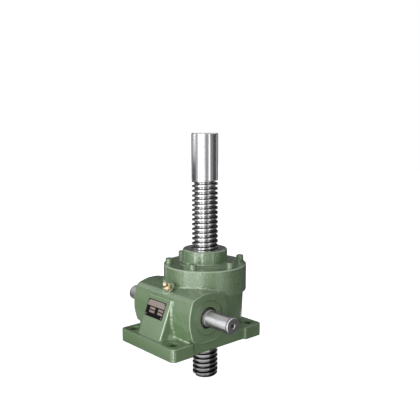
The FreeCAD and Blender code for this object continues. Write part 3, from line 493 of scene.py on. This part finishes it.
def screw_steel():
    """Turned steel of the lifting screw: polished plain end, thread with oil and painted shade in its
    root, flanks painted dark as shade, and the thread painted darker below the housing as shade.
    """
    steel = Finish("turned_screw_steel")
    x, y, z = steel.parts(steel.place())
    radius = steel.reach(x, y)
    lines = steel.noise(steel.place(stretch=(40, 40, 2600)), 1.0, 3.0, 0.6)
    clouds = steel.noise(steel.place(stretch=(1, 1, 0.4)), 60, 3.0)
    threaded = steel.fall(z, SCREW_PLAIN_LOW - 0.001, SCREW_PLAIN_LOW)
    # Painted shade: the flanks nearly black, the roots dark with oil and shade
    flank_shade = steel.within(radius, SCREW_ROOT + 0.0006, SCREW_CREST - 0.0007, SOFT_FINE) * threaded
    root = steel.fall(radius, SCREW_ROOT + 0.0003, SCREW_ROOT + 0.0009) * threaded
    # Painted shade: the thread darker below the housing
    below = steel.fall(z, DARK_THREAD_LOW, DARK_THREAD_HIGH)
    colour = steel.blend(clouds * 0.6, STEEL, STEEL_BRIGHT)
    colour = steel.blend(threaded * (0.35 + below * 0.3), colour, STEEL_DULL)
    colour = steel.blend(flank_shade * 0.9, colour, OIL_AND_SHADE)
    colour = steel.blend(root * (0.35 + clouds * 0.5), colour, OIL_AND_SHADE)
    return steel.surface(
        Base_Color=colour,
        Metallic=1.0,
        Roughness=0.11 + lines * 0.08 + clouds * 0.03 + threaded * 0.06,
        Normal=steel.relief(lines, 0.00006, 0.6),
    )


def shaft_steel():
    """Turned steel of the worm shaft, with fine lines around it and grease by the seals; the keyway and
    the clip groove painted dark as shade, the ring beyond the groove painted lighter as a highlight, and
    the end face painted darker as shade.
    """
    steel = Finish("turned_shaft_steel")
    x, y, z = steel.parts(steel.place(WORM_AXIS))
    along = abs(x)
    lines = steel.noise(steel.place(stretch=(5000, 2200, 2200)), 1.0, 1.0)
    clouds = steel.noise(steel.place(), 45, 3.0)
    greasy = steel.fall(along, SEAL_END + 0.001, SEAL_END + 0.006)
    colour = steel.blend(clouds, STEEL_GROUND, STEEL_SHINY)
    colour = steel.blend(greasy * steel.rise(clouds, 0.50, 0.65) * 0.6, colour, BRASS_DARK)
    # Painted shade: the keyway's floor and the clip groove darker
    keyway_shade = steel.within(along, SEAL_END + 0.002, CLIP_START, SOFT_FINE)
    keyway_shade = keyway_shade * steel.fall(steel.reach(y, z), KEY_FLOOR, KEY_FLOOR + 0.0012)
    clip_groove_shade = steel.within(along, CLIP_START - 0.0003, CLIP_END + 0.0001, 0.0002)
    colour = steel.blend(clip_groove_shade + keyway_shade * 0.3, colour, OIL_AND_SHADE)
    # Painted highlight: the ring beyond the clip groove lighter; painted shade: the end face darker
    end = steel.rise(along, SHAFT_HALF - 0.0004, SHAFT_HALF - 0.0001)
    plain = steel.rise(along, CLIP_END, CLIP_END + 0.0004)
    colour = steel.blend(plain * (1 - end), colour, STEEL_BRIGHT)
    colour = steel.blend(end * 0.8, colour, STEEL_DULL)
    return steel.surface(
        Base_Color=colour,
        Metallic=1 - keyway_shade * 0.6 - greasy * 0.4 - clip_groove_shade * 0.8,
        Roughness=0.29 + clouds * 0.04 + greasy * 0.04,
        Normal=steel.brushed(lines, "X", 1 - plain),
    )


def small_steel(name, colour, roughness, grain):
    """Plain steel for the bearings, the shims and the rivets."""
    steel = Finish(name)
    clouds = steel.noise(steel.place(), grain, 3.0)
    return steel.surface(
        Base_Color=steel.blend(clouds * 0.5, colour, STEEL_BRIGHT),
        Metallic=1.0,
        Roughness=roughness + clouds * 0.1,
        Normal=steel.relief(clouds, 0.00004, 0.5),
    )


def machined_bronze():
    """Bronze of the worm wheel and the bushes, darker where it is tarnished."""
    metal = Finish("machined_bronze")
    clouds = metal.noise(metal.place(), 40, 4.0, 0.6)
    fine = metal.noise(metal.place(stretch=(60, 60, 1500)), 1.0, 2.0)
    return metal.surface(
        Base_Color=metal.blend(metal.rise(clouds, 0.40, 0.75) * 0.7, BRONZE, BRONZE_DARK),
        Metallic=1.0,
        Roughness=0.24 + clouds * 0.16,
        Normal=metal.relief(fine, 0.00005, 0.6),
    )


def turned_brass():
    """Pale brass of the grease fitting, patchy brown with tarnish, and painted dark as shade in its neck
    and at its foot.
    """
    metal = Finish("turned_brass")
    z = metal.parts(metal.place(GREASE_PLACE, GREASE_TURN))[2]
    clouds = metal.noise(metal.place(), 220, 4.0, 0.6)
    # Painted shade in the neck and at the foot
    neck = metal.within(z, BALL_LOW - 0.0024, BALL_LOW + 0.0002, SOFT)
    foot = metal.fall(z, 0.0015, 0.0035)
    brown = (metal.rise(clouds, 0.45, 0.75) * 0.3).most(neck.most(foot) * 0.9)
    return metal.surface(
        Base_Color=metal.blend(brown, BRASS, BRASS_DARK),
        Metallic=0.7,
        Roughness=0.22 + clouds * 0.10,
        Normal=metal.relief(clouds, 0.00005, 0.6),
    )


def black_rubber():
    """Moulded rubber with a brown lip where the shaft runs, and a pale patch on its front side that is
    grease and also a painted highlight.
    """
    rubber = Finish("moulded_black_rubber")
    y, z = rubber.parts(rubber.place(WORM_AXIS))[1:]
    grain = rubber.noise(rubber.place(), 700, 2.0)
    lip = rubber.fall(rubber.reach(y, z), SEAL_LIP, SEAL_LIP + 0.0006)
    # Painted highlight: grease on the front side of the seal painted pale
    grease_highlight = rubber.fall(y, -0.020, -0.010) * rubber.within(z, -0.008, 0.014, 0.005)
    colour = rubber.blend(lip, RUBBER, LIP)
    return rubber.surface(
        Base_Color=rubber.blend(grease_highlight * 0.8, colour, GREASE_HIGHLIGHT),
        Roughness=0.55 + grain * 0.2,
        Normal=rubber.relief(grain, 0.0001, 0.6),
    )


def blank_label():
    """Sheet metal plate: a pale head band, and a dark field with four empty boxes."""
    plate = Finish("blank_plate")
    x, y, z = plate.parts(plate.place(LABEL_PLACE, LABEL_TURN))
    pale = label_fields(plate, x, y)
    front = plate.rise(z, LABEL_THICK - 0.0002, LABEL_THICK - 0.0001)
    dark = (1 - pale) * front
    clouds = plate.noise(plate.place(), 90, 3.0)
    brushed = plate.noise(plate.place(stretch=(25, 900, 900)), 1.0, 2.0)
    colour = plate.blend(clouds * 0.4, PLATE_METAL, STEEL)
    return plate.surface(
        Base_Color=plate.blend(dark, colour, PLATE_FIELD),
        Metallic=0.75 * (1 - dark),
        Roughness=0.34 + brushed * 0.15 + dark * 0.2,
        Specular_IOR_Level=0.08,
        Normal=plate.relief(1 - dark + brushed * 0.05, 0.0001, 0.8),
    )


def label_fields(plate, x, y):
    """1 on the head band of the plate, and a little less in its four boxes."""
    half_width = LABEL_WIDTH / 2 - LABEL_BORDER
    pale = plate.within(x, -half_width, half_width, LABEL_EDGE)
    pale = pale * plate.within(y, LABEL_BAND_LOW, LABEL_HEIGHT / 2 - LABEL_BORDER, LABEL_EDGE)
    for left, right in LABEL_BOXES_ACROSS:
        for low, high in LABEL_BOXES_UP:
            box = plate.within(x, left, right, LABEL_EDGE) * plate.within(y, low, high, LABEL_EDGE)
            pale = pale.most(box * 0.8)
    return pale


def dress(finishes):
    """Give every piece the finish of its kind."""
    for finish, nodes in finishes:
        for name in nodes:
            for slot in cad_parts[name].material_slots:
                slot.material = finish


def floor_finish():
    """White floor that stays white to the camera and in reflections, and keeps a soft shadow."""
    floor = Finish("white_floor")
    diffuse = floor.add("ShaderNodeBsdfDiffuse", {}, {"Color": as_colour(FLOOR_WHITE)})
    x, y = floor.parts(floor.place())[:2]
    far = floor.rise(floor.reach(x, y), FLOOR_NEAR, FLOOR_FAR)
    strength = floor.seen() * (FLOOR_GLOW + far * (1 - FLOOR_GLOW))
    glow = floor.add("ShaderNodeEmission", {}, {"Strength": strength})
    both = floor.add("ShaderNodeAddShader", {}, {0: diffuse, 1: glow})
    floor.add("ShaderNodeOutputMaterial", {}, {"Surface": both})
    return floor.owner


def sheet_of(name, corners, finish):
    """Flat stage piece from its corners."""
    mesh = bpy.data.meshes.new(name)
    bm = bmesh.new()
    bm.faces.new([bm.verts.new(corner) for corner in corners])
    bm.to_mesh(mesh)
    bm.free()
    mesh.materials.append(finish)
    made = bpy.data.objects.new(name, mesh)
    bpy.context.scene.collection.objects.link(made)
    return made


def card_finish(level):
    """Matt cloth of a card that shows at one level in reflections."""
    cloth = Finish("card_cloth")
    return cloth.surface(
        Base_Color=BLACK,
        Roughness=1.0,
        Emission_Color=(level, level, level),
        Emission_Strength=1.0,
    )


def compass(turn, reach, height):
    """Point at a turn from the camera's side of the jack, positive to the camera's right."""
    angle = CAMERA_TURN + math.radians(turn)
    return Vector((math.sin(angle) * reach, -math.cos(angle) * reach, height))


def softbox(name, turn, reach, height, width, tall, power, aim):
    """Rectangular lamp that looks at the jack."""
    data = bpy.data.lights.new(name, "AREA")
    data.shape = "RECTANGLE"
    data.size = width
    data.size_y = tall
    data.energy = power
    lamp = bpy.data.objects.new(name, data)
    lamp.location = compass(turn, reach, height)
    facing = Vector((0, 0, aim)) - lamp.location
    lamp.rotation_euler = facing.to_track_quat("-Z", "Y").to_euler()
    bpy.context.scene.collection.objects.link(lamp)


def card(name, corners, level):
    """Card that only shows in reflections."""
    made = sheet_of(name, corners, card_finish(level))
    made.visible_camera = False
    made.visible_diffuse = False
    made.visible_shadow = False


def upright_card(name, turn, spread, bottom, top, level):
    """Upright card as wide as an angle from the jack."""
    middle = compass(turn, CARD_REACH, 0)
    half = CARD_REACH * math.tan(math.radians(spread) / 2)
    along = Vector((0, 0, 1)).cross(middle).normalized() * half
    ends = [middle - along, middle + along, middle + along, middle - along]
    heights = (bottom, bottom, top, top)
    card(name, [(point.x, point.y, height) for point, height in zip(ends, heights)], level)


def low_card(name, level, corners):
    """Card just above the floor, a pale one above a dark one."""
    height = FLOOR_LEVEL + level * CARD_LIFT
    card(name, [compass(turn, reach, height) for turn, reach in corners], level)


def room_light():
    """Pale surroundings that show white to the camera and in reflections."""
    room = Finish("pale_room", bpy.data.worlds)
    soft = room.add("ShaderNodeBackground", {}, {"Color": as_colour(WHITE), "Strength": SKY})
    white = room.add("ShaderNodeBackground", {}, {"Color": as_colour(WHITE)})
    mixed = room.add("ShaderNodeMixShader", {}, {0: room.seen(), 1: soft, 2: white})
    room.add("ShaderNodeOutputWorld", {}, {"Surface": mixed})
    bpy.context.scene.world = room.owner


def studio():
    """Floor, surroundings, lamps and cards."""
    half = FLOOR_HALF
    corners = [(-half, -half), (half, -half), (half, half), (-half, half)]
    sheet_of("floor", [(*corner, FLOOR_LEVEL) for corner in corners], floor_finish())
    room_light()
    for lamp in LAMPS:
        softbox(*lamp)
    for place in CARDS:
        upright_card(*place)
    for place in LOW_CARDS:
        low_card(*place)


def camera():
    """Camera at the photograph's viewing angle."""
    data = bpy.data.cameras.new("camera")
    data.sensor_width = CAMERA_FILM
    data.lens = CAMERA_LENS
    data.clip_end = CAMERA_FAR
    made = bpy.data.objects.new("camera", data)
    aside = Vector((math.cos(CAMERA_TURN), math.sin(CAMERA_TURN), 0)) * CAMERA_ASIDE
    made.location = compass(0, CAMERA_REACH, CAMERA_HEIGHT) + aside
    made.rotation_euler = (math.pi / 2 - CAMERA_DIP, 0, CAMERA_TURN)
    bpy.context.scene.collection.objects.link(made)
    bpy.context.scene.camera = made


BEARING_ENDINGS = ("race", "balls", "inner_ring", "outer_ring")
bearings = [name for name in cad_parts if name.endswith(BEARING_ENDINGS)]
dress([
    (cast_enamel(), ["housing", "top_cover", "cover_shim", "cover_screws", "cover_spring_washers",
                     "drive_bearing_plug", "rear_bearing_plug"]),
    (paler_enamel(), ["plug_lock_screws"]),
    (screw_steel(), ["lifting_screw"]),
    (shaft_steel(), ["worm_shaft"]),
    (small_steel("bearing_steel", STEEL, 0.12, 80), bearings),
    (small_steel("shim_steel", STEEL, 0.35, 200), ["drive_bearing_shim", "rear_bearing_shim"]),
    (machined_bronze(), ["worm_wheel", "lower_guide_bush", "upper_guide_bush"]),
    (turned_brass(), ["grease_fitting"]),
    (black_rubber(), ["collar_wiper", "drive_oil_seal", "rear_oil_seal"]),
    (blank_label(), ["nameplate"]),
    (small_steel("rivet_steel", RIVET, 0.3, 300), ["nameplate_rivets"]),
])
studio()
camera()
bpy.context.scene.view_settings.view_transform = "Standard"
